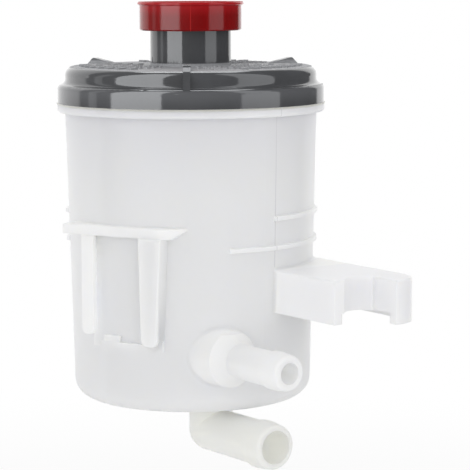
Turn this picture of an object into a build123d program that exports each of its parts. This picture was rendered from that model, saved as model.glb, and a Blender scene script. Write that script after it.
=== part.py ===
from build123d import *
from math import cos, hypot, radians, sin, sqrt
import os

os.makedirs("parts", exist_ok=True)

# Power steering reservoir, millimetres, +Z up. The origin is the centre of the tank's flat
# underside, and +X is the way the two hose nipples and the clip arm point.

# Tank shell
tank_height = 108.5
tank_top_r = 46.2
tank_bottom_r = 43.6
tank_wall = 2.2
tank_floor = 2.4
tank_edge_r = 6.5
rim_overhang = 2.8
rim_thick = 3.4
rim_edge_r = 1.1
weld_flash = 0.25
weld_flash_high = 0.9

# Level beads round the tank, each from its first azimuth to the bracket socket
upper_level = 68.8
lower_level = 58.4
bead_proud = 1.2
bead_half = 1.3
upper_bead_start = 5.0
lower_bead_start = -18.0
bead_end = 238.0

# Bracket socket: a shelf above two hooked rails
socket_azimuth = -67.0
shelf_top = 66.8
shelf_thick = 3.6
shelf_stand = 1.6
shelf_left = -25.2
shelf_right = 22.6
shelf_corner_r = 8.0
shelf_edge_r = 0.7
shelf_end_run = 3.6
shelf_end_rise = 2.6
shelf_root_r = 0.7
socket_middle = -0.4
socket_width = 29.6
socket_depth = 2.8
socket_bottom = 25.0
rail_stand = 2.1
rail_wall = 2.0
rail_lip_left = 3.4
rail_lip_right = 7.4
rail_taper = 2.0
rail_end_r = 2.4
rail_edge_r = 0.5
catch_width = 6.4
catch_high = 2.2
catch_reach = 1.2
catch_offset = -6.6

# Clip arm
arm_top = 50.4
arm_high = 15.4
arm_near_y = 4.6
arm_far_inset = 6.5
arm_far_lean = 2.4
arm_near_reach = 33.8
arm_far_reach = 45.8
arm_root_sink = 3.1
arm_wall = 3.5
arm_roof = 3.2
arm_tip_flat = 1.0
clip_width = 14.3
clip_end_reach = 30.2
clip_rise = 3.7
clip_wall = 3.0
arm_rib = 2.2
arm_edge_r = 0.9
arm_root_r = 1.0

# Return nipple, on the side
return_y = -16.5
return_z = 21.0
return_reach = 36.5
return_r = 6.1
return_bore_r = 3.7
return_bead_r = 6.7
return_boss_r = 10.0
return_boss_out = 3.7
return_boss_taper = 4.6
return_root_sink = 14.0

# Outlet elbow, under the floor
outlet_x = 18.6
outlet_y = -5.0
outlet_z = -10.3
outlet_reach = 14.2
outlet_r = 7.9
outlet_bore_r = 6.0
outlet_bead_r = 8.6

# Nipples: the round where they leave the tank, and their tips
nipple_root_r = 1.5
tip_length = 9.4
tip_bead = 3.2
tip_ramp = 0.8
tip_nose_r = 1.2

# Lid, welded on the rim
lid_flange = 6.2
lid_flange_edge_r = 1.8
lid_wall = 2.4
ledge_rise = 1.3
dome_step = 2.8
dome_root_r = 1.8
dome_high = 13.2
dome_shoulder_r = 3.2
neck_r = 14.85
neck_wall = 2.65
neck_high = 32.8
neck_root_r = 1.4
neck_bead_proud = 1.35
neck_bead_half = 1.1
neck_bead_drop = 4.6
neck_edge = 0.5

# Three ribs over the lid's shoulder, and the raised marks between them
rib_count = 3
rib_azimuth = -36.8
rib_width = 2.6
rib_run = 14.2
rib_peak_in = 3.6
rib_proud = 2.2
rib_side = 2.1
rib_edge_r = 1.2
mark_count = 9
mark_in = 7.6
mark_length = 4.6
mark_width = 1.9
mark_high = 0.6
mark_pitch = 7.4

# Push-on cap and its flat seal
cap_room = 0.7
cap_wall = 1.8
cap_lip_proud = 0.8
cap_lip_thick = 1.3
cap_top_thick = 2.2
cap_skirt_drop = 10.4
cap_edge = 0.45
cap_dish_in = 2.5
cap_dish = 0.5
plug_drop = 5.2
plug_wall = 1.6
plug_gap = 0.5
snap_gap = 0.3
snap_high = 1.6
seal_thick = 1.5
seal_room = 1.0
seal_gap = 0.3

# Strainer standing on the floor
strainer_gap = 0.35
strainer_level = 13.0
strainer_ring_high = 3.2
strainer_ring_wall = 2.2
strainer_hub_r = 5.0
strainer_spokes = 6
strainer_spoke = 2.0
leg_count = 3
leg_r = 2.2
leg_in = 11.5
leg_azimuth = 55.0
mesh_thick = 0.5

# Worked out
rim_under = tank_height - rim_thick
draft = (tank_top_r - tank_bottom_r) / rim_under
rim_r = tank_top_r + rim_overhang
dome_r = rim_r - dome_step
shelf_under = shelf_top - shelf_thick
arm_bottom = arm_top - arm_high
neck_top = tank_height + neck_high
neck_bore_r = neck_r - neck_wall
neck_bead_r = neck_r + neck_bead_proud
cap_top = neck_top + seal_thick + cap_top_thick
cap_inner_r = neck_bead_r + cap_room
cap_skirt_r = cap_inner_r + cap_wall
cap_lip_r = cap_skirt_r + cap_lip_proud
plug_r = neck_bore_r - plug_gap
clip_near_y = arm_near_y + arm_wall
clip_far_y = clip_near_y + clip_width


def wall_r(z):
    """The tank's outer radius at height z."""
    return tank_bottom_r + draft * z


def on_wall(edge):
    """True for an edge that follows the tank's outer wall."""
    return all(abs(hypot(p.X, p.Y) - wall_r(p.Z)) < weld_flash for p in (edge @ 0, edge @ 0.5, edge @ 1))


# What stands on the tank's wall is measured out from it
shelf_reach = wall_r(shelf_under) + shelf_stand
rail_front = wall_r(shelf_under) + rail_stand
socket_floor = rail_front - rail_wall - socket_depth
arm_far_root_y = wall_r(arm_bottom) - arm_far_inset
arm_root_x = sqrt(wall_r(arm_bottom) ** 2 - arm_far_root_y ** 2) - arm_root_sink
arm_far_tip_y = arm_far_root_y - arm_far_lean
arm_far_corner_r = arm_far_tip_y - clip_far_y - arm_tip_flat
arm_near_tip_x = wall_r(arm_bottom) + arm_near_reach
arm_far_tip_x = wall_r(arm_bottom) + arm_far_reach
clip_end_x = wall_r(arm_bottom) + clip_end_reach
return_root_x = wall_r(return_z) - return_root_sink
return_boss_x = wall_r(return_z) + return_boss_out
return_end_x = wall_r(return_z) + return_reach
outlet_end_x = tank_bottom_r + outlet_reach


def radial_plane(azimuth):
    """The plane through the tank's axis at an azimuth: local x is outward, local y is up."""
    a = radians(azimuth)
    return Plane(origin=(0, 0, 0), x_dir=(cos(a), sin(a), 0), z_dir=(sin(a), -cos(a), 0))


def facing_plane(azimuth, distance):
    """The upright plane facing an azimuth, at a distance from the tank's axis."""
    a = radians(azimuth)
    out = Vector(cos(a), sin(a), 0)
    return Plane(origin=out * distance, x_dir=(-sin(a), cos(a), 0), z_dir=out)


def nipple(y, z, root_x, end_x, shank_r, bead_radius, boss=None):
    """A hose nipple along +X: shank, beaded tip with a round nose, and a tapered boss if given."""
    bead_x = end_x - tip_length
    outline = [(root_x, 0), (root_x, shank_r)]
    if boss:
        boss_radius, boss_x, boss_taper = boss
        outline = [(root_x, 0), (root_x, boss_radius), (boss_x, boss_radius)]
        outline.append((boss_x + boss_taper, shank_r))
    outline += [
        (bead_x, shank_r),
        (bead_x + tip_ramp, bead_radius),
        (bead_x + tip_bead, bead_radius),
        (end_x, shank_r),
        (end_x, 0),
    ]
    with BuildPart() as shape:
        with BuildSketch(Plane(origin=(0, y, z), x_dir=(1, 0, 0), z_dir=(0, -1, 0))) as profile:
            with BuildLine():
                Polyline(*outline, close=True)
            make_face()
            nose = profile.vertices().filter_by_position(Axis.X, end_x - 0.01, end_x + 0.01)
            fillet(nose.sort_by(Axis.Y)[-1], tip_nose_r)
        revolve(axis=Axis((0, y, z), (1, 0, 0)))
    return shape.part


def bar_along_x(y, z, start_x, end_x, radius):
    """A round bar along +X, for a bore or a pipe."""
    with BuildPart() as shape:
        with BuildSketch(Plane(origin=(start_x, y, z), z_dir=(1, 0, 0))):
            Circle(radius)
        extrude(amount=end_x - start_x)
    return shape.part


def elbow_knee(radius, top_z):
    """The upright leg of the outlet elbow with its round corner."""
    with BuildPart() as shape:
        with BuildSketch(Plane(origin=(outlet_x, outlet_y, outlet_z))):
            Circle(radius)
        extrude(amount=top_z - outlet_z)
        with Locations((outlet_x, outlet_y, outlet_z)):
            Sphere(radius)
    return shape.part


# The clip arm: a roof with a skirt round it, open below, and a slot through its end
with BuildPart() as clip_arm:
    with BuildSketch(Plane.XY.offset(arm_bottom)) as arm_outline:
        with BuildLine():
            Polyline(
                (arm_root_x, arm_near_y),
                (arm_near_tip_x, arm_near_y),
                (arm_near_tip_x, clip_far_y),
                (arm_far_tip_x, clip_far_y),
                (arm_far_tip_x, arm_far_tip_y),
                (arm_root_x, arm_far_root_y),
                close=True,
            )
        make_face()
        tips = arm_outline.vertices().group_by(Axis.X)[-1].sort_by(Axis.Y)
        fillet(tips[-1], arm_far_corner_r)
    extrude(amount=arm_high)
    # Hollow underside, leaving a wall round the slot
    with BuildSketch(Plane.XY.offset(arm_bottom)) as hollow:
        with BuildLine():
            Polyline(
                (arm_root_x, clip_near_y),
                (arm_near_tip_x, clip_near_y),
                (arm_near_tip_x, clip_far_y),
                (arm_far_tip_x - arm_wall, clip_far_y),
                (arm_far_tip_x - arm_wall, arm_far_tip_y - arm_wall),
                (arm_root_x, arm_far_root_y - arm_wall),
                close=True,
            )
        make_face()
        corner = hollow.vertices().group_by(Axis.X)[-1].sort_by(Axis.Y)[-1]
        fillet(corner, arm_far_corner_r - arm_wall)
        with Locations(((clip_end_x + arm_far_tip_x) / 2, (clip_near_y + clip_far_y) / 2)):
            Rectangle(
                arm_far_tip_x - clip_end_x + 2 * clip_wall,
                clip_width + 2 * clip_wall,
                mode=Mode.SUBTRACT,
            )
    extrude(amount=arm_high - arm_roof, mode=Mode.SUBTRACT)
    # A shallower rib across the hollow, from skirt to skirt
    with BuildSketch(Plane.XY.offset(arm_bottom + clip_rise)):
        with Locations(((tank_top_r + clip_end_x) / 2, arm_near_y + arm_wall / 2)):
            Rectangle(arm_rib, arm_far_tip_y - arm_wall - arm_near_y, align=(Align.CENTER, Align.MIN))
    extrude(amount=arm_high - arm_roof - clip_rise)
    # The slot, open at the end, with a round inner end
    with BuildSketch(Plane.XY.offset(arm_bottom)) as slot:
        with Locations((clip_end_x + clip_width / 2, clip_near_y + clip_width / 2)):
            Circle(clip_width / 2)
        with Locations((arm_far_tip_x, clip_near_y + clip_width / 2)):
            Rectangle(2 * (arm_far_tip_x - clip_end_x) - clip_width, clip_width)
    extrude(amount=arm_high, mode=Mode.SUBTRACT)
    # The wall round the slot stops short of the skirt's lower edge
    with BuildSketch(Plane.XY.offset(arm_bottom)):
        with Locations((clip_end_x - clip_wall, clip_near_y)):
            Rectangle(
                arm_far_tip_x - arm_wall - clip_end_x + clip_wall,
                clip_width + clip_wall,
                align=(Align.MIN, Align.MIN),
            )
    extrude(amount=clip_rise, mode=Mode.SUBTRACT)
    fillet(clip_arm.edges().filter_by_position(Axis.Z, arm_top - 0.01, arm_top + 0.01), arm_edge_r)

# The shelf over the bracket socket, from the tank's axis out to its straight front
with BuildPart() as shelf_plate:
    with BuildSketch(Plane.XY.offset(shelf_under)) as shelf:
        with Locations(Plane.XY.rotated((0, 0, socket_azimuth + 90))):
            with Locations(((shelf_left + shelf_right) / 2, -shelf_reach / 2)):
                Rectangle(shelf_right - shelf_left, shelf_reach)
        fillet(shelf.vertices().sort_by(Axis.X)[-1], shelf_corner_r)
    extrude(amount=shelf_thick)
    fillet(shelf_plate.edges().group_by(Axis.Z)[-1], shelf_edge_r)
    # The right end is drawn up from below
    with BuildSketch(facing_plane(socket_azimuth, shelf_reach)):
        with BuildLine():
            Polyline(
                (shelf_right - shelf_end_run, shelf_under),
                (shelf_right, shelf_under + shelf_end_rise),
                (shelf_right, shelf_under),
                close=True,
            )
        make_face()
    extrude(amount=-shelf_reach, mode=Mode.SUBTRACT)

# Hooked rails under the shelf: upright webs, each with a lip turned in towards the other
left_web = socket_middle - socket_width / 2
right_web = socket_middle + socket_width / 2
with BuildPart() as socket_rails:
    with BuildSketch(facing_plane(socket_azimuth, rail_front)) as rails:
        with BuildLine():
            Polyline(
                (left_web - rail_wall, shelf_under),
                (left_web - rail_wall, socket_bottom + rail_end_r),
                (left_web + rail_lip_left, socket_bottom + rail_end_r),
                (left_web + rail_lip_left, shelf_under),
                close=True,
            )
        make_face()
        with BuildLine():
            Polyline(
                (right_web + rail_wall, shelf_under),
                (right_web + rail_wall - rail_taper, socket_bottom),
                (right_web - rail_lip_right + rail_taper / 2, socket_bottom),
                (right_web - rail_lip_right, shelf_under),
                close=True,
            )
        make_face()
        rail_ends = rails.vertices().filter_by_position(Axis.Y, 0, socket_bottom + rail_end_r + 0.01)
        fillet(rail_ends, rail_end_r)
    extrude(amount=-(rail_front - socket_floor + 2 * rail_wall))
    outward = Axis((0, 0, 0), (cos(radians(socket_azimuth)), sin(radians(socket_azimuth)), 0))
    rail_fronts = socket_rails.faces().sort_by(outward)[-2:]
    fillet(rail_fronts.edges(), rail_edge_r)

# The tank, one moulding with its rim, beads, socket, arm and nipples
with BuildPart() as tank_body:
    with BuildSketch(Plane.XZ) as tank_profile:
        with BuildLine():
            Polyline(
                (0, 0),
                (tank_bottom_r, 0),
                (tank_top_r, rim_under),
                (rim_r, rim_under),
                (rim_r, tank_height - weld_flash_high),
                (rim_r + weld_flash, tank_height - weld_flash_high / 2),
                (rim_r + weld_flash, tank_height),
                (0, tank_height),
                close=True,
            )
        make_face()
        foot = tank_profile.vertices().group_by(Axis.Y)[0].sort_by(Axis.X)[-1]
        fillet(foot, tank_edge_r)
        rim_corners = tank_profile.vertices().filter_by_position(Axis.Y, rim_under - 0.01, rim_under + 0.01)
        fillet(rim_corners.sort_by(Axis.X)[-1], rim_edge_r)
    revolve(axis=Axis.Z)

    for level, start in ((upper_level, upper_bead_start), (lower_level, lower_bead_start)):
        with BuildSketch(radial_plane(start)):
            with Locations((wall_r(level), level)):
                Polygon(
                    (-bead_proud, -bead_half),
                    (bead_proud, -bead_half / 2),
                    (bead_proud, bead_half / 2),
                    (-bead_proud, bead_half),
                    align=None,
                )
        revolve(axis=Axis.Z, revolution_arc=bead_end - start)

    add(shelf_plate.part)
    shelf_roots = tank_body.edges(Select.NEW).filter_by(on_wall)
    fillet(shelf_roots.group_by(Axis.Z)[-1], shelf_root_r)
    add(socket_rails.part)
    add(clip_arm.part)
    fillet(tank_body.edges(Select.NEW).filter_by(on_wall).sort_by(SortBy.LENGTH)[-1], arm_root_r)
    add(nipple(return_y, return_z, return_root_x, return_end_x, return_r, return_bead_r,
               (return_boss_r, return_boss_x, return_boss_taper)))
    fillet(tank_body.edges(Select.NEW).filter_by(on_wall), nipple_root_r)
    add(elbow_knee(outlet_r, tank_floor / 2))
    elbow_root = tank_body.edges(Select.NEW).filter_by_position(Axis.Z, -0.01, 0.01)
    fillet(elbow_root.filter_by(GeomType.CIRCLE), nipple_root_r)
    add(nipple(outlet_y, outlet_z, outlet_x, outlet_end_x, outlet_r, outlet_bead_r))

    # Inside of the tank
    with BuildSketch(Plane.XZ) as inside:
        with BuildLine():
            Polyline(
                (0, tank_floor),
                (wall_r(tank_floor) - tank_wall, tank_floor),
                (wall_r(tank_height) - tank_wall, tank_height),
                (0, tank_height),
                close=True,
            )
        make_face()
        inner_foot = inside.vertices().group_by(Axis.Y)[0].sort_by(Axis.X)[-1]
        fillet(inner_foot, tank_edge_r - tank_wall)
    revolve(axis=Axis.Z, mode=Mode.SUBTRACT)

    # Flat wall behind the socket, then the pocket that the bracket's tongue slides up into
    pad_bottom = socket_bottom - tank_wall
    with BuildSketch(facing_plane(socket_azimuth, socket_floor - tank_wall)):
        with Locations((socket_middle, (pad_bottom + shelf_top) / 2)):
            Rectangle(socket_width, shelf_top - pad_bottom)
    extrude(amount=tank_wall)
    with BuildSketch(facing_plane(socket_azimuth, socket_floor)):
        with Locations((socket_middle, (socket_bottom + shelf_under) / 2)):
            Rectangle(socket_width, shelf_under - socket_bottom)
    extrude(amount=socket_depth, mode=Mode.SUBTRACT)
    with BuildSketch(facing_plane(socket_azimuth, socket_floor)):
        with Locations((catch_offset, socket_bottom + catch_high / 2)):
            Rectangle(catch_width, catch_high)
    extrude(amount=catch_reach)

    # Bores of the nipples
    add(bar_along_x(return_y, return_z, return_root_x, return_end_x, return_bore_r), mode=Mode.SUBTRACT)
    add(elbow_knee(outlet_bore_r, tank_floor), mode=Mode.SUBTRACT)
    add(bar_along_x(outlet_y, outlet_z, outlet_x, outlet_end_x, outlet_bore_r), mode=Mode.SUBTRACT)

# The lid, one moulding with its neck, ribs and raised marks
with BuildPart() as tank_lid:
    flange_top = tank_height + lid_flange
    ledge_top = flange_top + ledge_rise
    dome_top = tank_height + dome_high
    with BuildSketch(Plane.XZ) as lid_profile:
        with BuildLine():
            Polyline(
                (0, tank_height),
                (rim_r, tank_height),
                (rim_r, flange_top),
                (dome_r, ledge_top),
                (dome_r, dome_top),
                (neck_r, dome_top),
                (neck_r, neck_top - neck_edge),
                (neck_r - neck_edge, neck_top),
                (0, neck_top),
                close=True,
            )
        make_face()
        at_flange = lid_profile.vertices().filter_by_position(Axis.Y, flange_top - 0.01, flange_top + 0.01)
        fillet(at_flange, lid_flange_edge_r)
        at_root = lid_profile.vertices().filter_by_position(Axis.Y, ledge_top - 0.01, ledge_top + 0.01)
        fillet(at_root, dome_root_r)
        at_dome = lid_profile.vertices().filter_by_position(Axis.Y, dome_top - 0.01, dome_top + 0.01)
        fillet(at_dome.sort_by(Axis.X)[-1], dome_shoulder_r)
        fillet(at_dome.sort_by(Axis.X)[0], neck_root_r)
    revolve(axis=Axis.Z)

    # Ribs that climb to the shoulder and run down the side to the flange
    for k in range(rib_count):
        spoke = radial_plane(rib_azimuth + k * 360 / rib_count)
        with BuildSketch(spoke) as rib:
            with BuildLine():
                Polyline(
                    (dome_r - rib_run, dome_top - lid_wall / 2),
                    (dome_r - rib_run, dome_top),
                    (dome_r - rib_peak_in, dome_top + rib_proud),
                    (dome_r + rib_side, dome_top - dome_shoulder_r),
                    (dome_r + rib_side, flange_top - lid_flange_edge_r / 2),
                    (dome_r - lid_wall / 2, flange_top - lid_flange_edge_r / 2),
                    (dome_r - lid_wall / 2, dome_top - lid_wall / 2),
                    close=True,
                )
            make_face()
            rib_tips = rib.vertices().group_by(Axis.X)[-1] + rib.vertices().group_by(Axis.Y)[-1]
            fillet(rib_tips.sort_by(Axis.Y)[-2:], rib_edge_r)
        extrude(amount=rib_width / 2, both=True)

    # Plain raised marks in the three bays between the ribs
    for k in range(rib_count):
        bay = rib_azimuth + (k + 0.5) * 360 / rib_count
        with BuildSketch(Plane.XY.offset(dome_top)):
            with PolarLocations(dome_r - mark_in, mark_count, bay - mark_pitch * (mark_count - 1) / 2,
                                mark_pitch * (mark_count - 1), endpoint=True):
                Rectangle(mark_length, mark_width)
        extrude(amount=mark_high)

    # Hollow under the dome, and the neck's bore
    with BuildSketch(Plane.XZ) as lid_hollow:
        with BuildLine():
            Polyline(
                (0, tank_height),
                (wall_r(tank_height) - tank_wall, tank_height),
                (dome_r - lid_wall, flange_top),
                (dome_r - lid_wall, dome_top - lid_wall),
                (0, dome_top - lid_wall),
                close=True,
            )
        make_face()
        under_shoulder = lid_hollow.vertices().group_by(Axis.Y)[-1].sort_by(Axis.X)[-1]
        chamfer(under_shoulder, dome_shoulder_r / 2)
    revolve(axis=Axis.Z, mode=Mode.SUBTRACT)
    with BuildSketch(Plane.XY.offset(tank_height)):
        Circle(neck_bore_r)
    extrude(amount=neck_high, mode=Mode.SUBTRACT)

    # Snap bead round the neck, under the cap
    with BuildSketch(Plane.XZ):
        with BuildLine():
            bead_z = neck_top - neck_bead_drop
            Polyline(
                (neck_r - neck_edge, bead_z - neck_bead_half),
                (neck_bead_r, bead_z - neck_bead_half / 3),
                (neck_bead_r, bead_z + neck_bead_half / 3),
                (neck_r - neck_edge, bead_z + neck_bead_half),
                close=True,
            )
        make_face()
    revolve(axis=Axis.Z)

# The red cap: a skirt outside the neck and a plug inside it
with BuildPart() as filler_cap:
    cap_under = cap_top - cap_top_thick
    skirt_bottom = neck_top - cap_skirt_drop + seal_thick + cap_top_thick
    snap_r = neck_bead_r + snap_gap
    with BuildSketch(Plane.XZ) as cap_profile:
        with BuildLine():
            Polyline(
                (0, skirt_bottom),
                (cap_skirt_r, skirt_bottom),
                (cap_skirt_r, cap_top - cap_lip_thick),
                (cap_lip_r, cap_top - cap_lip_thick),
                (cap_lip_r, cap_top),
                (cap_lip_r - cap_dish_in, cap_top),
                (cap_lip_r - cap_dish_in - cap_dish, cap_top - cap_dish),
                (0, cap_top - cap_dish),
                close=True,
            )
        make_face()
        lip = cap_profile.vertices().filter_by_position(Axis.X, cap_lip_r - 0.01, cap_lip_r + 0.01)
        chamfer(lip, cap_edge)
        chamfer(cap_profile.vertices().group_by(Axis.Y)[0].sort_by(Axis.X)[-1], cap_edge)
    revolve(axis=Axis.Z)
    # Room for the neck, narrower at the snap rib just inside the mouth
    with BuildSketch(Plane.XZ):
        with BuildLine():
            Polyline(
                (0, skirt_bottom),
                (snap_r + snap_gap, skirt_bottom),
                (snap_r, skirt_bottom + snap_high / 2),
                (snap_r, skirt_bottom + snap_high),
                (cap_inner_r, skirt_bottom + 2 * snap_high),
                (cap_inner_r, cap_under),
                (0, cap_under),
                close=True,
            )
        make_face()
    revolve(axis=Axis.Z, mode=Mode.SUBTRACT)
    with BuildSketch(Plane.XY.offset(neck_top - plug_drop)) as plug:
        Circle(plug_r)
        Circle(plug_r - plug_wall, mode=Mode.SUBTRACT)
    extrude(amount=plug_drop + seal_thick + cap_top_thick / 2)
    plug_rims = filler_cap.edges().filter_by(GeomType.CIRCLE).filter_by_position(
        Axis.Z, neck_top - plug_drop - 0.01, neck_top - plug_drop + 0.01)
    chamfer(plug_rims.sort_by(SortBy.RADIUS)[-1], cap_edge)

with BuildPart() as cap_seal:
    with BuildSketch(Plane.XY.offset(neck_top)):
        Circle(cap_inner_r - seal_room)
        Circle(plug_r + seal_gap, mode=Mode.SUBTRACT)
    extrude(amount=seal_thick)

# Strainer: a spoked ring on legs, with the mesh moulded into its top
strainer_r = wall_r(strainer_level) - tank_wall - strainer_gap
ring_top = strainer_level + strainer_ring_high
mesh_r = strainer_r - strainer_ring_wall / 2
with BuildPart() as strainer_frame:
    with BuildSketch(Plane.XY.offset(strainer_level)):
        Circle(strainer_r)
        Circle(strainer_r - strainer_ring_wall, mode=Mode.SUBTRACT)
        Circle(strainer_hub_r)
        with PolarLocations(strainer_r / 2, strainer_spokes, leg_azimuth):
            Rectangle(strainer_r - strainer_ring_wall, strainer_spoke)
    extrude(amount=strainer_ring_high)
    with BuildSketch(Plane.XY.offset(tank_floor)):
        with PolarLocations(strainer_r - leg_in, leg_count, leg_azimuth):
            Circle(leg_r)
    extrude(amount=strainer_level - tank_floor + strainer_ring_high / 2)
    with BuildSketch(Plane.XY.offset(ring_top - mesh_thick)):
        Circle(mesh_r)
    extrude(amount=mesh_thick, mode=Mode.SUBTRACT)

with BuildPart() as strainer_mesh:
    with BuildSketch(Plane.XY.offset(ring_top - mesh_thick)):
        Circle(mesh_r)
    extrude(amount=mesh_thick)

tank_body.part.label = "tank_body"
tank_lid.part.label = "tank_lid"
filler_cap.part.label = "filler_cap"
cap_seal.part.label = "cap_seal"
strainer_frame.part.label = "strainer_frame"
strainer_mesh.part.label = "strainer_mesh"

export_step(tank_body.part, "parts/tank_body.step")
export_step(tank_lid.part, "parts/tank_lid.step")
export_step(filler_cap.part, "parts/filler_cap.step")
export_step(cap_seal.part, "parts/cap_seal.step")
export_step(strainer_frame.part, "parts/strainer_frame.step")
export_step(strainer_mesh.part, "parts/strainer_mesh.step")
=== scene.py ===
from math import cos, pi, radians, sin

import bpy
from mathutils import Matrix, Vector


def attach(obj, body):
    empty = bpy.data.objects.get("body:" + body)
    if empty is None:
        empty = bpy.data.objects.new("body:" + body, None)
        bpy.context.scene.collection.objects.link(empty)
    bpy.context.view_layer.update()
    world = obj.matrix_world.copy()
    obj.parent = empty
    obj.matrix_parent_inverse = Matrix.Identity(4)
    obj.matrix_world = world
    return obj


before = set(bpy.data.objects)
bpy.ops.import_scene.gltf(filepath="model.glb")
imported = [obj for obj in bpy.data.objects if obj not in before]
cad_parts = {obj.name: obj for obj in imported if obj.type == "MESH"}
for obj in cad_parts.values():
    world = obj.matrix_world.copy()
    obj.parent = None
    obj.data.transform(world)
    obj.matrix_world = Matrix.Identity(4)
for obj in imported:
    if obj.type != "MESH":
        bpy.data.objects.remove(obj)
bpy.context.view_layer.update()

MM = 0.001

# Sizes and places of the real thing that its finishes and fine marks are set by
RIM_TOP = 108.5 * MM
FLANGE_TOP = RIM_TOP + 6.3 * MM
DOME_TOP = 121.7 * MM
CAP_TOP = 145.0 * MM
WELD_HIGH = 0.9 * MM
ARM_TOP = 50.4 * MM
ARM_ROOT_X = 45.0 * MM
NIPPLE_TOP = 30.0 * MM
PARTING_Y = 4.6 * MM
PARTING_HALF = 0.16 * MM
SEAM_HALF = 0.15 * MM
RIB_COUNT = 3
RIB_AZIMUTH = -36.8
SOCKET_AZIMUTH = -67.0

# The photograph's camera, a little above the lid and tipped slightly down
CAMERA_AZIMUTH = -35.0
CAMERA_DISTANCE = 748.857 * MM
CAMERA_HEIGHT = 153.843 * MM
CAMERA_HEADING = 143.7743
CAMERA_PITCH = 7.2349
CAMERA_ROLL = -0.2137
SENSOR = 36.0
PHOTO_WIDTH = 470
FOCAL_PIXELS = 2032.885
LENS = FOCAL_PIXELS * SENSOR / PHOTO_WIDTH

# Studio. A strength of 1 is white. Fades are in cosines of the angle between two directions
COOL_WHITE = (0.96, 0.98, 1.0)
BOX_LOW, BOX_HIGH = -0.005, 1.90
ROOM_MIRRORED_LEFT = 0.36
ROOM_MIRRORED_RIGHT = 0.10
ROOM_FADE = 0.8
ROOM_LIGHT = 0.72
BACKDROP_MIRRORED = 1.35
BACKDROP_LIGHT = 0.88
BACKDROP_ANGLE = -166.0
BACKDROP_HALF = 56.0
BACKDROP_SOFT = 0.04
BACKDROP_SPREAD = -0.2
FLOOR_Z = -0.12
FLOOR_R = 0.70
SHADOW_NEAR, SHADOW_FAR = 0.15, 0.60
SHADOW_WHITE = 0.72

# Where daylight soaks through thin walls, in mm
RETURN_AXIS = (-16.5, 21.0)
OUTLET_AXIS = (-5.0, -10.3)
KNEE_SPOTS = [(22, -5.0, -9.0), (18.6, -5.0, -3.0)]
GROOVE_FRONT, GROOVE_SIDE, GROOVE_MIDDLE = 43.8, 14.9, 44.5
GROOVE_WIDE, GROOVE_HIGH = 1.4, 34.0

# Sockets of the Mix node, which go by number because their names repeat
SHARE, NUMBER_A, NUMBER_B, COLOUR_A, COLOUR_B = 0, 2, 3, 6, 7
MIXED_NUMBER, MIXED_COLOUR = 0, 2

# Settings that several nodes share
SOFT = {"interpolation_type": "SMOOTHSTEP"}
COLOURS = {"data_type": "RGBA"}
NUMBERS = {"data_type": "FLOAT"}
TIMES = {"operation": "MULTIPLY"}


def linear(code):
    """An sRGB hex colour as the linear RGBA that shaders take."""
    parts = [int(code[i:i + 2], 16) / 255 for i in (0, 2, 4)]
    return tuple(c / 12.92 if c <= 0.04045 else ((c + 0.055) / 1.055) ** 2.4 for c in parts) + (1.0,)


def node(tree, kind, settings=None, values=None, links=None):
    """Adds one node: its settings, its sockets' constant values, and what feeds its sockets."""
    n = tree.nodes.new(kind)
    for name, value in (settings or {}).items():
        setattr(n, name, value)
    for socket, value in (values or {}).items():
        n.inputs[socket].default_value = value
    for socket, source in (links or {}).items():
        tree.links.new(source, n.inputs[socket])
    return n


def place_camera():
    """The camera that was fitted to the photograph's circles."""
    here = radians(CAMERA_AZIMUTH)
    heading = radians(CAMERA_HEADING)
    pitch = radians(CAMERA_PITCH)
    roll = radians(CAMERA_ROLL)
    level = Vector((cos(heading), sin(heading), 0))
    forward = level * cos(pitch) - Vector((0, 0, sin(pitch)))
    right = Vector((sin(heading), -cos(heading), 0))
    up = right.cross(forward)
    side = right * cos(roll) + up * sin(roll)
    top = up * cos(roll) - right * sin(roll)
    turn = Matrix((side, top, -forward)).transposed().to_4x4()
    spot = Vector((CAMERA_DISTANCE * cos(here), CAMERA_DISTANCE * sin(here), CAMERA_HEIGHT))
    data = bpy.data.cameras.new("camera")
    data.sensor_width = SENSOR
    data.lens = LENS
    data.clip_start = 0.05
    camera = bpy.data.objects.new("camera", data)
    camera.matrix_world = Matrix.Translation(spot) @ turn
    bpy.context.scene.collection.objects.link(camera)
    bpy.context.scene.camera = camera


def aimed(spot, back):
    """The matrix of a lamp at a spot with its back turned one way, so that it shines the other way."""
    return Matrix.Translation(spot) @ back.to_track_quat("Z", "Y").to_matrix().to_4x4()


def soft_box(name, turn, size, mirrored, light):
    """A rectangular soft box as two lamps: one that the gloss mirrors, and one that lights the part."""
    for part, radiance, glossy in (("mirrored", mirrored, True), ("light", light, False)):
        data = bpy.data.lights.new(name + "_" + part, "AREA")
        data.shape = "RECTANGLE"
        data.size, data.size_y = size
        data.energy = radiance * pi * size[0] * size[1]
        data.color = COOL_WHITE if glossy else (1, 1, 1)
        lamp = bpy.data.objects.new(name + "_" + part, data)
        lamp.visible_camera = False
        lamp.visible_glossy = glossy
        lamp.visible_diffuse = not glossy
        lamp.matrix_world = turn
        bpy.context.scene.collection.objects.link(lamp)


def upright_box(name, angle, distance, width, low, high, mirrored, light):
    """A soft box that stands at an angle to the right of the camera and faces the part."""
    a = radians(CAMERA_AZIMUTH + angle)
    out = Vector((cos(a), sin(a), 0))
    turn = aimed(out * distance + Vector((0, 0, (low + high) / 2)), out)
    soft_box(name, turn, (width, high - low), mirrored, light)


def overhead_box(name, behind, height, size, mirrored, light):
    """A soft box above the part and some way behind it, which faces the part."""
    a = radians(CAMERA_AZIMUTH)
    out = Vector((-behind * cos(a), -behind * sin(a), height))
    soft_box(name, aimed(out, out), size, mirrored, light)


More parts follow.
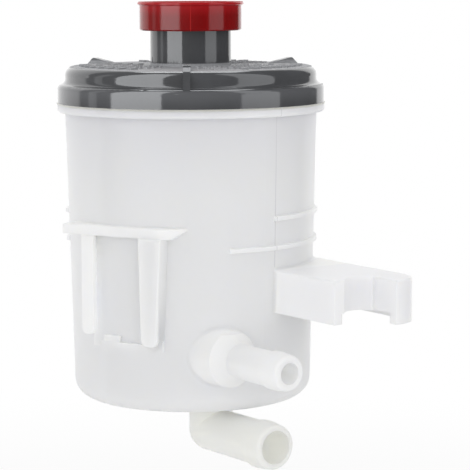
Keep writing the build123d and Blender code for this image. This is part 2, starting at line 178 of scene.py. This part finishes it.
def soaked_light(name, spots, power):
    """Weak hidden lamps, for the daylight that soaks through a thin wall. The spots are in mm."""
    for i, spot in enumerate(spots):
        data = bpy.data.lights.new(f"{name}_{i}", "POINT")
        data.shadow_soft_size = 1.5 * MM
        data.energy = power
        lamp = bpy.data.objects.new(f"{name}_{i}", data)
        lamp.location = Vector(spot) * MM
        lamp.visible_camera = False
        lamp.visible_glossy = False
        bpy.context.scene.collection.objects.link(lamp)


def groove_strip():
    """A weak upright strip behind the socket's left lip, for the daylight that soaks through the lip."""
    facing = radians(SOCKET_AZIMUTH)
    front = Vector((cos(facing), sin(facing), 0))
    side = Vector((-sin(facing), cos(facing), 0))
    spot = (front * GROOVE_FRONT - side * GROOVE_SIDE + Vector((0, 0, GROOVE_MIDDLE))) * MM
    size = (GROOVE_WIDE * MM, GROOVE_HIGH * MM)
    soft_box("groove_strip", aimed(spot, -side), size, mirrored=0.0, light=1.2)


def light_room():
    """A dim room with a white backdrop in it, which the camera sees as plain white all round."""
    world = bpy.data.worlds.new("studio")
    world.use_nodes = True
    bpy.context.scene.world = world
    tree = world.node_tree
    tree.nodes.clear()
    place = node(tree, "ShaderNodeTexCoord")
    back = radians(CAMERA_AZIMUTH + BACKDROP_ANGLE)
    edge = cos(radians(BACKDROP_HALF))
    facing = node(tree, "ShaderNodeVectorMath", {"operation": "DOT_PRODUCT"},
                  {1: (cos(back), sin(back), 0)}, {0: place.outputs["Generated"]})
    left = radians(CAMERA_AZIMUTH - 90)
    leftward = node(tree, "ShaderNodeVectorMath", {"operation": "DOT_PRODUCT"},
                    {1: (cos(left), sin(left), 0)}, {0: place.outputs["Generated"]})
    room = node(tree, "ShaderNodeMapRange", SOFT,
                {"From Min": -ROOM_FADE, "From Max": ROOM_FADE,
                 "To Min": ROOM_MIRRORED_RIGHT, "To Max": ROOM_MIRRORED_LEFT},
                {"Value": leftward.outputs["Value"]})
    mirrored = node(tree, "ShaderNodeMapRange", SOFT,
                    {"From Min": edge - BACKDROP_SOFT, "From Max": edge + BACKDROP_SOFT,
                     "To Max": BACKDROP_MIRRORED},
                    {"Value": facing.outputs["Value"], "To Min": room.outputs["Result"]})
    light = node(tree, "ShaderNodeMapRange", None,
                 {"From Min": BACKDROP_SPREAD, "From Max": 1.0,
                  "To Min": ROOM_LIGHT, "To Max": BACKDROP_LIGHT},
                 {"Value": facing.outputs["Value"]})
    rays = node(tree, "ShaderNodeLightPath")
    level = node(tree, "ShaderNodeMix", NUMBERS, None,
                 {SHARE: rays.outputs["Is Glossy Ray"], NUMBER_A: light.outputs["Result"],
                  NUMBER_B: mirrored.outputs["Result"]})
    seen = node(tree, "ShaderNodeMath", {"operation": "MAXIMUM"}, None,
                {0: rays.outputs["Is Camera Ray"], 1: rays.outputs["Is Transmission Ray"]})
    strength = node(tree, "ShaderNodeMix", NUMBERS, {NUMBER_B: 1.0},
                    {SHARE: seen.outputs["Value"], NUMBER_A: level.outputs[MIXED_NUMBER]})
    glow = node(tree, "ShaderNodeBackground", None, {"Color": (1, 1, 1, 1)},
                {"Strength": strength.outputs[MIXED_NUMBER]})
    node(tree, "ShaderNodeOutputWorld", links={"Surface": glow.outputs["Background"]})


def start_material(name):
    """An empty node material, its tree and its Object coordinates."""
    material = bpy.data.materials.new(name)
    material.use_nodes = True
    tree = material.node_tree
    tree.nodes.clear()
    place = node(tree, "ShaderNodeTexCoord")
    return material, tree, place.outputs["Object"]


def finish_material(material, values, links):
    """Adds the shader, with its constant values and what feeds it, and the output."""
    shader = node(material.node_tree, "ShaderNodeBsdfPrincipled", None, values, links)
    node(material.node_tree, "ShaderNodeOutputMaterial", links={"Surface": shader.outputs["BSDF"]})
    return material


def two_tones(tree, pattern, low, high, first, second):
    """A pattern as two colours: the first up to its low value, the second from its high value."""
    share = node(tree, "ShaderNodeMapRange", None, {"From Min": low, "From Max": high}, {"Value": pattern})
    tones = node(tree, "ShaderNodeMix", COLOURS, {COLOUR_A: linear(first), COLOUR_B: linear(second)},
                 {SHARE: share.outputs["Result"]})
    return tones.outputs[MIXED_COLOUR]


def lay_floor():
    """A round white table top under the part. Away from the shadow it goes over into the white backdrop."""
    bpy.ops.mesh.primitive_circle_add(vertices=96, radius=FLOOR_R, fill_type="NGON", location=(0, 0, 0))
    floor = bpy.context.object
    floor.name = "floor"
    floor.data.transform(Matrix.Translation((0, 0, FLOOR_Z)))
    material, tree, place = start_material("white_table_top")
    flat = node(tree, "ShaderNodeVectorMath", TIMES, {1: (1, 1, 0)}, {0: place})
    out = node(tree, "ShaderNodeVectorMath", {"operation": "LENGTH"}, None, {0: flat.outputs["Vector"]})
    fade = node(tree, "ShaderNodeMapRange", SOFT,
                {"From Min": SHADOW_NEAR, "From Max": SHADOW_FAR, "To Min": SHADOW_WHITE, "To Max": 1.0},
                {"Value": out.outputs["Value"]})
    rays = node(tree, "ShaderNodeLightPath")
    share = node(tree, "ShaderNodeMath", TIMES, None,
                 {0: fade.outputs["Result"], 1: rays.outputs["Is Camera Ray"]})
    paint = node(tree, "ShaderNodeBsdfDiffuse", None, {"Color": linear("F4F4F4")})
    white = node(tree, "ShaderNodeEmission", None, {"Color": (1, 1, 1, 1), "Strength": 1.0})
    mix = node(tree, "ShaderNodeMixShader", None, None,
               {0: share.outputs["Value"], 1: paint.outputs["BSDF"], 2: white.outputs["Emission"]})
    node(tree, "ShaderNodeOutputMaterial", links={"Surface": mix.outputs["Shader"]})
    floor.data.materials.append(material)


def milky_polypropylene():
    """Natural polypropylene, injection moulded: milky, lit from inside, faint flow clouds, satin gloss."""
    material, tree, place = start_material("milky_polypropylene")
    clouds = node(tree, "ShaderNodeTexNoise", None,
                  {"Scale": 1 / (26 * MM), "Detail": 2.0, "Roughness": 0.45},
                  {"Vector": place}).outputs["Fac"]
    body = two_tones(tree, clouds, 0.30, 0.70, "FAFAF6", "F9FAFD")
    x, y, z = node(tree, "ShaderNodeSeparateXYZ", links={"Vector": place}).outputs

    # Painted shade: the wall is painted greyer towards the dark lid, as little light comes down inside the
    # tank
    painted_lid_shade = node(tree, "ShaderNodeMapRange", SOFT,
                     {"From Min": RIM_TOP - 45 * MM, "From Max": RIM_TOP}, {"Value": z})
    wall = node(tree, "ShaderNodeMix", COLOURS, {COLOUR_B: linear("E7E7EA")},
                {SHARE: painted_lid_shade.outputs["Result"], COLOUR_A: body})

    # Painted shade: the clip arm has no lit space behind it, so it is painted a little darker than the shell,
    # and it is a little cooler in tint
    outward = node(tree, "ShaderNodeMapRange", SOFT,
                   {"From Min": ARM_ROOT_X, "From Max": ARM_ROOT_X + 4 * MM}, {"Value": x})
    over_nipple = node(tree, "ShaderNodeMath", {"operation": "GREATER_THAN"}, {1: NIPPLE_TOP}, {0: z})
    arm_shade_and_tint = node(tree, "ShaderNodeMath", TIMES, None,
                  {0: outward.outputs["Result"], 1: over_nipple.outputs["Value"]})
    arm = node(tree, "ShaderNodeMix", COLOURS, {COLOUR_B: linear("F1F1F3")},
               {SHARE: arm_shade_and_tint.outputs["Value"], COLOUR_A: wall.outputs[MIXED_COLOUR]})

    # Painted shade: the outlet elbow has no lit tank behind it, so it is painted a little darker, and it is a
    # little yellower in tint
    low = node(tree, "ShaderNodeMapRange", SOFT,
               {"From Min": 4 * MM, "From Max": -4 * MM, "To Max": 0.8}, {"Value": z})
    elbow = node(tree, "ShaderNodeMix", COLOURS, {COLOUR_B: linear("EAEAE5")},
                 {SHARE: low.outputs["Result"], COLOUR_A: arm.outputs[MIXED_COLOUR]})

    # The lid's weld pressed a cream bead of old melt out at the rim
    weld = node(tree, "ShaderNodeMapRange", SOFT,
                {"From Min": RIM_TOP - 1.2 * WELD_HIGH, "From Max": RIM_TOP - 0.3 * WELD_HIGH},
                {"Value": z})
    welded = node(tree, "ShaderNodeMix", COLOURS, {COLOUR_B: linear("D8D6CA")},
                  {SHARE: weld.outputs["Result"], COLOUR_A: elbow.outputs[MIXED_COLOUR]})

    # The mould's parting line, above the arm on the side that the nipples are on
    aside = node(tree, "ShaderNodeMath", {"operation": "COMPARE"}, {1: PARTING_Y, 2: PARTING_HALF}, {0: y})
    ahead = node(tree, "ShaderNodeMath", {"operation": "GREATER_THAN"}, {1: 25 * MM}, {0: x})
    over_arm = node(tree, "ShaderNodeMath", {"operation": "GREATER_THAN"}, {1: ARM_TOP + 1 * MM}, {0: z})
    side = node(tree, "ShaderNodeMath", TIMES, None,
                {0: ahead.outputs["Value"], 1: over_arm.outputs["Value"]})
    line = node(tree, "ShaderNodeMath", TIMES, None, {0: aside.outputs["Value"], 1: side.outputs["Value"]})
    lined = node(tree, "ShaderNodeMix", COLOURS, {COLOUR_B: linear("E0E0E2")},
                 {SHARE: line.outputs["Value"], COLOUR_A: welded.outputs[MIXED_COLOUR]})

    grain = node(tree, "ShaderNodeTexNoise", None, {"Scale": 1 / (1.1 * MM), "Detail": 3.0},
                 {"Vector": place})
    bump = node(tree, "ShaderNodeBump", None, {"Strength": 0.08, "Distance": 0.05 * MM},
                {"Height": grain.outputs["Fac"]})
    gloss = node(tree, "ShaderNodeMapRange", None, {"To Min": 0.36, "To Max": 0.44}, {"Value": clouds})
    return finish_material(
        material,
        {"IOR": 1.49, "Specular IOR Level": 0.2, "Subsurface Weight": 1.0,
         "Subsurface Radius": (1.0, 0.98, 0.92), "Subsurface Scale": 3.8 * MM},
        {"Base Color": lined.outputs[MIXED_COLOUR], "Roughness": gloss.outputs["Result"],
         "Normal": bump.outputs["Normal"]})


def grey_moulded_nylon():
    """Dark grey filled nylon, injection moulded in a polished mould, so it mirrors the soft boxes.

    The filler lifts its IOR over plain nylon's 1.53.
    """
    material, tree, place = start_material("grey_moulded_nylon")
    clouds = node(tree, "ShaderNodeTexNoise", None, {"Scale": 1 / (9 * MM), "Detail": 3.0},
                  {"Vector": place}).outputs["Fac"]
    body = two_tones(tree, clouds, 0.30, 0.70, "464749", "4D4E51")
    z = node(tree, "ShaderNodeSeparateXYZ", links={"Vector": place}).outputs["Z"]

    # The flat top is spark-eroded, so matt and grainy, up to the marks raised on it
    above = node(tree, "ShaderNodeMapRange", SOFT,
                 {"From Min": DOME_TOP - 0.5 * MM, "From Max": DOME_TOP - 0.1 * MM}, {"Value": z})
    below = node(tree, "ShaderNodeMapRange", SOFT,
                 {"From Min": DOME_TOP + 1.4 * MM, "From Max": DOME_TOP + 0.8 * MM}, {"Value": z})
    flat_top = node(tree, "ShaderNodeMath", TIMES, None,
                    {0: above.outputs["Result"], 1: below.outputs["Result"]})

    # Painted sheen: the flange is painted a little paler towards its top edge, where its gloss catches more
    # light
    up_flange = node(tree, "ShaderNodeMapRange", SOFT,
                     {"From Min": RIM_TOP, "From Max": FLANGE_TOP - 0.8 * MM}, {"Value": z})
    on_flange = node(tree, "ShaderNodeMath", {"operation": "LESS_THAN"}, {1: FLANGE_TOP}, {0: z})
    painted_flange_sheen = node(tree, "ShaderNodeMath", TIMES, None,
                {0: up_flange.outputs["Result"], 1: on_flange.outputs["Value"]})
    flange = node(tree, "ShaderNodeMix", COLOURS, {COLOUR_B: linear("5A5B5E")},
                  {SHARE: painted_flange_sheen.outputs["Value"], COLOUR_A: body})
    # Painted sheen: the flat top is painted much paler than the body, for the light its grain catches from
    # above
    colour = node(tree, "ShaderNodeMix", COLOURS, {COLOUR_B: linear("9A9B9E")},
                  {SHARE: flat_top.outputs["Value"], COLOUR_A: flange.outputs[MIXED_COLOUR]})

    grain = node(tree, "ShaderNodeTexNoise", None, {"Scale": 1 / (0.9 * MM), "Detail": 4.0},
                 {"Vector": place})
    depth = node(tree, "ShaderNodeMapRange", None, {"To Min": 0.05, "To Max": 0.9},
                 {"Value": flat_top.outputs["Value"]})
    bump = node(tree, "ShaderNodeBump", None, {"Distance": 0.06 * MM},
                {"Height": grain.outputs["Fac"], "Strength": depth.outputs["Result"]})
    gloss = node(tree, "ShaderNodeMapRange", None, {"To Min": 0.06, "To Max": 0.11}, {"Value": clouds})
    finish = node(tree, "ShaderNodeMix", NUMBERS, {NUMBER_B: 0.62},
                  {SHARE: flat_top.outputs["Value"], NUMBER_A: gloss.outputs["Result"]})
    return finish_material(
        material, {"IOR": 1.6},
        {"Base Color": colour.outputs[MIXED_COLOUR], "Roughness": finish.outputs[MIXED_NUMBER],
         "Normal": bump.outputs["Normal"]})


def red_polypropylene():
    """Red polypropylene, injection moulded: deep colour, a soft gloss, a seam down the skirt."""
    material, tree, place = start_material("red_polypropylene")
    clouds = node(tree, "ShaderNodeTexNoise", None, {"Scale": 1 / (7 * MM), "Detail": 3.0},
                  {"Vector": place}).outputs["Fac"]
    body = two_tones(tree, clouds, 0.30, 0.70, "7E0406", "88070A")
    z = node(tree, "ShaderNodeSeparateXYZ", links={"Vector": place}).outputs["Z"]

    # Painted light: the lip and the top are painted brighter, for the light that comes through them where
    # they are thin and falls on them from above
    lip = node(tree, "ShaderNodeMapRange", SOFT,
               {"From Min": CAP_TOP - 5.5 * MM, "From Max": CAP_TOP - 0.5 * MM}, {"Value": z})
    thin = node(tree, "ShaderNodeMix", COLOURS, {COLOUR_B: linear("A8141B")},
                {SHARE: lip.outputs["Result"], COLOUR_A: body})

    # The mould's seam runs down the middle of the skirt, front and back
    facing = radians(CAMERA_AZIMUTH)
    aside = node(tree, "ShaderNodeVectorMath", {"operation": "DOT_PRODUCT"},
                 {1: (sin(facing), -cos(facing), 0)}, {0: place})
    seam = node(tree, "ShaderNodeMath", {"operation": "COMPARE"}, {1: 0.0, 2: SEAM_HALF},
                {0: aside.outputs["Value"]})
    seamed = node(tree, "ShaderNodeMix", COLOURS, {COLOUR_B: linear("A8201F")},
                  {SHARE: seam.outputs["Value"], COLOUR_A: thin.outputs[MIXED_COLOUR]})

    grain = node(tree, "ShaderNodeTexNoise", None, {"Scale": 1 / (0.8 * MM), "Detail": 4.0},
                 {"Vector": place})
    bump = node(tree, "ShaderNodeBump", None, {"Strength": 0.06, "Distance": 0.05 * MM},
                {"Height": grain.outputs["Fac"]})
    gloss = node(tree, "ShaderNodeMapRange", None, {"To Min": 0.11, "To Max": 0.16}, {"Value": clouds})
    # Only the flat top is matt, from its spark-eroded mould
    flat_top = node(tree, "ShaderNodeMapRange", SOFT,
                    {"From Min": CAP_TOP - 0.3 * MM, "From Max": CAP_TOP - 0.1 * MM}, {"Value": z})
    finish = node(tree, "ShaderNodeMix", NUMBERS, {NUMBER_B: 0.5},
                  {SHARE: flat_top.outputs["Result"], NUMBER_A: gloss.outputs["Result"]})
    return finish_material(
        material,
        {"IOR": 1.49, "Specular IOR Level": 0.35, "Subsurface Weight": 0.5,
         "Subsurface Radius": (1.0, 0.15, 0.12), "Subsurface Scale": 1.5 * MM},
        {"Base Color": seamed.outputs[MIXED_COLOUR], "Roughness": finish.outputs[MIXED_NUMBER],
         "Normal": bump.outputs["Normal"]})


def black_nitrile_rubber():
    """Nitrile rubber ring, moulded: matt and nearly black with a fine speckle."""
    material, tree, place = start_material("black_nitrile_rubber")
    speckle = node(tree, "ShaderNodeTexNoise", None, {"Scale": 1 / (0.6 * MM), "Detail": 4.0},
                   {"Vector": place}).outputs["Fac"]
    body = two_tones(tree, speckle, 0.35, 0.65, "1C1C1D", "2A2A2B")
    gloss = node(tree, "ShaderNodeMapRange", None, {"To Min": 0.60, "To Max": 0.80}, {"Value": speckle})
    return finish_material(material, {"IOR": 1.52},
                           {"Base Color": body, "Roughness": gloss.outputs["Result"]})


def natural_nylon():
    """Natural nylon, moulded: ivory, satin, faintly clouded, and a little light comes through."""
    material, tree, place = start_material("natural_nylon")
    clouds = node(tree, "ShaderNodeTexNoise", None, {"Scale": 1 / (5 * MM), "Detail": 3.0},
                  {"Vector": place}).outputs["Fac"]
    body = two_tones(tree, clouds, 0.30, 0.70, "DAD7CB", "E4E2D8")
    gloss = node(tree, "ShaderNodeMapRange", None, {"To Min": 0.38, "To Max": 0.48}, {"Value": clouds})
    return finish_material(material, {"IOR": 1.53, "Subsurface Weight": 0.3, "Subsurface Scale": 1.0 * MM},
                           {"Base Color": body, "Roughness": gloss.outputs["Result"]})


def woven_nylon():
    """Plain-woven nylon thread: a fine ribbed check, at 0.8 mm pitch where the real one has 0.25, to show."""
    material, tree, place = start_material("woven_nylon")
    # At scale 1 the bands of a wave texture repeat every 2 pi / 20
    pitch = 0.8 * MM
    across, along = (node(tree, "ShaderNodeTexWave", {"bands_direction": way},
                          {"Scale": 2 * pi / (20 * pitch)}, {"Vector": place}) for way in "XY")
    weave = node(tree, "ShaderNodeMath", {"operation": "MAXIMUM"}, None,
                 {0: across.outputs["Fac"], 1: along.outputs["Fac"]})
    body = two_tones(tree, weave.outputs["Value"], 0.25, 0.75, "6E6C64", "DEDBD0")
    bump = node(tree, "ShaderNodeBump", None, {"Strength": 0.6, "Distance": 0.15 * MM},
                {"Height": weave.outputs["Value"]})
    return finish_material(material, {"Roughness": 0.5},
                           {"Base Color": body, "Normal": bump.outputs["Normal"]})


def marks_tree():
    """Rows of short drafted bars on a flat lid, in equal bays between ribs, some left out at random."""
    tree = bpy.data.node_groups.new("raised_marks", "GeometryNodeTree")
    tree.is_modifier = True
    sockets = {
        "Int": ("Rows", "Bays", "Marks In A Bay", "Seed"),
        "Float": ("First Radius", "Row Pitch", "First Angle", "Bay Angle", "Mark Angle",
                  "Mark Length", "Width Per Radius", "Mark Height", "Lid Height",
                  "Share Kept", "Narrowest", "Widest"),
        "Material": ("Material",),
    }
    for kind, names in sockets.items():
        for name in names:
            tree.interface.new_socket(name, in_out="INPUT", socket_type="NodeSocket" + kind)
    tree.interface.new_socket("Geometry", in_out="OUTPUT", socket_type="NodeSocketGeometry")
    size = node(tree, "NodeGroupInput").outputs

    # From a mark's number to its place in the bay, its bay and its row
    index = node(tree, "GeometryNodeInputIndex")
    column = node(tree, "ShaderNodeMath", {"operation": "MODULO"}, None,
                  {0: index.outputs[0], 1: size["Marks In A Bay"]})
    runs = node(tree, "ShaderNodeMath", {"operation": "DIVIDE"}, None,
                {0: index.outputs[0], 1: size["Marks In A Bay"]})
    run = node(tree, "ShaderNodeMath", {"operation": "FLOOR"}, None, {0: runs.outputs[0]})
    bay = node(tree, "ShaderNodeMath", {"operation": "MODULO"}, None, {0: run.outputs[0], 1: size["Bays"]})
    rounds = node(tree, "ShaderNodeMath", {"operation": "DIVIDE"}, None,
                  {0: run.outputs[0], 1: size["Bays"]})
    row = node(tree, "ShaderNodeMath", {"operation": "FLOOR"}, None, {0: rounds.outputs[0]})
    radius = node(tree, "ShaderNodeMath", {"operation": "MULTIPLY_ADD"}, None,
                  {0: row.outputs[0], 1: size["Row Pitch"], 2: size["First Radius"]})
    bay_start = node(tree, "ShaderNodeMath", {"operation": "MULTIPLY_ADD"}, None,
                     {0: bay.outputs[0], 1: size["Bay Angle"], 2: size["First Angle"]})
    angle = node(tree, "ShaderNodeMath", {"operation": "MULTIPLY_ADD"}, None,
                 {0: column.outputs[0], 1: size["Mark Angle"], 2: bay_start.outputs[0]})

    outward = node(tree, "ShaderNodeCombineXYZ", links={"X": radius.outputs[0], "Z": size["Lid Height"]})
    spot = node(tree, "ShaderNodeVectorRotate", {"rotation_type": "Z_AXIS"}, None,
                {"Vector": outward.outputs[0], "Angle": angle.outputs[0]})
    per_row = node(tree, "ShaderNodeMath", TIMES, None, {0: size["Bays"], 1: size["Marks In A Bay"]})
    count = node(tree, "ShaderNodeMath", TIMES, None, {0: per_row.outputs[0], 1: size["Rows"]})
    points = node(tree, "GeometryNodePoints",
                  links={"Count": count.outputs[0], "Position": spot.outputs[0]})

    # One bar, 1 by 1 by 1, with drafted sides
    taper = node(tree, "GeometryNodeMeshCone", None,
                 {"Vertices": 4, "Radius Top": 0.5, "Radius Bottom": 0.5 ** 0.5, "Depth": 1.0})
    bar = node(tree, "GeometryNodeTransform", None, {"Rotation": (0, 0, pi / 4)},
               {"Geometry": taper.outputs["Mesh"]})

    # Each bar is kept or left out, and is as wide as its row allows, give or take
    kept = node(tree, "FunctionNodeRandomValue", {"data_type": "BOOLEAN"}, None,
                {"Probability": size["Share Kept"], "Seed": size["Seed"]})
    uneven = node(tree, "FunctionNodeRandomValue", NUMBERS, None,
                  {2: size["Narrowest"], 3: size["Widest"], "Seed": size["Seed"]})
    width = node(tree, "ShaderNodeMath", TIMES, None, {0: radius.outputs[0], 1: size["Width Per Radius"]})
    varied = node(tree, "ShaderNodeMath", TIMES, None, {0: width.outputs[0], 1: uneven.outputs[1]})
    scale = node(tree, "ShaderNodeCombineXYZ",
                 links={"X": size["Mark Length"], "Y": varied.outputs[0], "Z": size["Mark Height"]})
    turn = node(tree, "ShaderNodeCombineXYZ", links={"Z": angle.outputs[0]})
    rotation = node(tree, "FunctionNodeEulerToRotation", links={0: turn.outputs[0]})
    marks = node(tree, "GeometryNodeInstanceOnPoints", None, None,
                 {"Points": points.outputs[0], "Instance": bar.outputs[0], "Selection": kept.outputs[3],
                  "Rotation": rotation.outputs[0], "Scale": scale.outputs[0]})
    real = node(tree, "GeometryNodeRealizeInstances", links={0: marks.outputs[0]})
    dressed = node(tree, "GeometryNodeSetMaterial", None, None,
                   {"Geometry": real.outputs[0], "Material": size["Material"]})
    node(tree, "NodeGroupOutput", links={0: dressed.outputs[0]})
    return tree


def raise_marks(material):
    """The fine marks on the lid's top, between the neck and the outer ring of marks."""
    tree = marks_tree()
    sizes = {
        "Rows": 4, "Bays": RIB_COUNT, "Marks In A Bay": 19, "Seed": 7,
        "First Radius": 20.4 * MM, "Row Pitch": 4.5 * MM,
        "First Angle": radians(RIB_AZIMUTH + 7.3), "Bay Angle": 2 * pi / RIB_COUNT,
        "Mark Angle": radians(4.6), "Mark Length": 2.4 * MM, "Width Per Radius": 0.042,
        "Mark Height": 0.55 * MM, "Lid Height": DOME_TOP,
        "Share Kept": 0.86, "Narrowest": 0.65, "Widest": 1.25, "Material": material,
    }
    marks = bpy.data.objects.new("lid_fine_marks", bpy.data.meshes.new("lid_fine_marks"))
    bpy.context.scene.collection.objects.link(marks)
    grower = marks.modifiers.new("marks", "NODES")
    grower.node_group = tree
    for socket in tree.interface.items_tree:
        if socket.in_out == "INPUT":
            grower[socket.identifier] = sizes[socket.name]
    grown = marks.evaluated_get(bpy.context.evaluated_depsgraph_get())
    mesh = bpy.data.meshes.new_from_object(grown)
    marks.modifiers.clear()
    marks.data = mesh
    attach(marks, "tank")


def dress(name, material):
    """Puts one material on a CAD node."""
    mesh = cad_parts[name].data
    mesh.materials.clear()
    mesh.materials.append(material)


place_camera()

# Two tall soft boxes beside the camera and one overhead make the bands on lid and cap. A card far to the
# left lights the left edge of the gloss, and a fill beside the camera evens the nipples' ends
upright_box("left_box", angle=-46.5, distance=0.60, width=0.497, low=BOX_LOW, high=BOX_HIGH,
            mirrored=4.0, light=1.4)
upright_box("right_box", angle=60.0, distance=0.60, width=0.400, low=BOX_LOW, high=BOX_HIGH,
            mirrored=1.7, light=0.8)
overhead_box("top_box", behind=0.24, height=0.80, size=(0.50, 0.28), mirrored=5.8, light=0.7)
upright_box("front_fill", angle=8.0, distance=1.00, width=0.70, low=-0.25, high=0.45,
            mirrored=0.0, light=0.9)
upright_box("left_card", angle=-89.0, distance=0.60, width=0.10, low=BOX_LOW, high=0.60,
            mirrored=0.7, light=0.0)

soaked_light("return_bore", [(x, *RETURN_AXIS) for x in (74, 67, 60)], 0.55e-4)
soaked_light("outlet_bore", [(x, *OUTLET_AXIS) for x in (50, 40, 30)], 1.6e-4)
soaked_light("outlet_knee", KNEE_SPOTS, 3.5e-4)
groove_strip()
light_room()
lay_floor()

lid_finish = grey_moulded_nylon()
raise_marks(lid_finish)

dress("tank_body", milky_polypropylene())
dress("tank_lid", lid_finish)
dress("filler_cap", red_polypropylene())
dress("cap_seal", black_nitrile_rubber())
dress("strainer_frame", natural_nylon())
dress("strainer_mesh", woven_nylon())

bpy.context.scene.view_settings.view_transform = "Standard"
